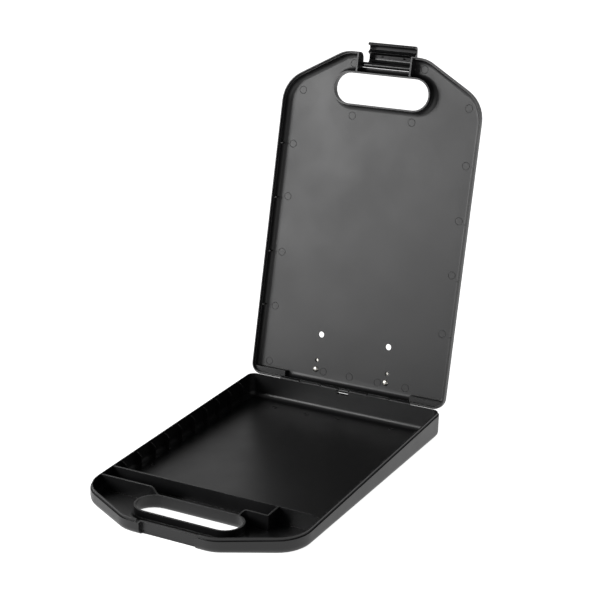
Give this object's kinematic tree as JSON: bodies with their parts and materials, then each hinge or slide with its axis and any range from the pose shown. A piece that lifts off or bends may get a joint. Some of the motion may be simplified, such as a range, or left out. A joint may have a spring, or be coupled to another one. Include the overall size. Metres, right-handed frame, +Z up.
{
  "type": "storage clipboard",
  "caption": "Slim storage clipboard: wedge tray with pen trough and carrying handle, hinged lid with front latch and spring clip, shown open.",
  "frame": {"origin": "centre of the tray's flat underside", "axes": "+X across the width, to the right as seen from the handle end; -Y towards the handle end; +Z up, out of the tray"},
  "size_m": [0.24, 0.4778, 0.4084],
  "materials": {
    "tray_plastic": "fine moulded texture, black",
    "lid_plastic": "fine moulded texture, black",
    "latch_plastic": "semi-gloss, black",
    "bright_steel": "drawn wire",
    "nickel_plate": "nickel plate",
    "spring_steel": "oiled spring wire"
  },
  "bodies": {
    "tray": {"base_tray": "tray_plastic", "hinge_pin": "bright_steel"},
    "lid": {"lid_shell": "lid_plastic", "latch_pin": "bright_steel", "clip_base_plate": "nickel_plate", "clip_pin": "nickel_plate", "rivet_left": "nickel_plate", "rivet_right": "nickel_plate"},
    "latch": {"latch": "latch_plastic"},
    "jaw": {"clip_jaw": "nickel_plate", "clip_spring_left": "spring_steel", "clip_spring_right": "spring_steel"}
  },
  "joints": [
    {"name": "lid_hinge", "type": "hinge", "parent": "tray", "child": "lid", "pos_m": [0, 0.18965, 0.02781], "axis": [1, 0, 0], "range_deg": [0, 103.4]},
    {"name": "latch_pivot", "type": "hinge", "parent": "lid", "child": "latch", "pos_m": [0, 0.27179, 0.38495], "axis": [1, 0, 0], "range_deg": [0, 81]},
    {"name": "jaw_pivot", "type": "hinge", "parent": "lid", "child": "jaw", "pos_m": [0, 0.21366, 0.04367], "axis": [-1, 0, 0], "range_deg": [0, 30], "stiffness_Nm_per_rad": 0.4, "springref_deg": -28.65}
  ]
}
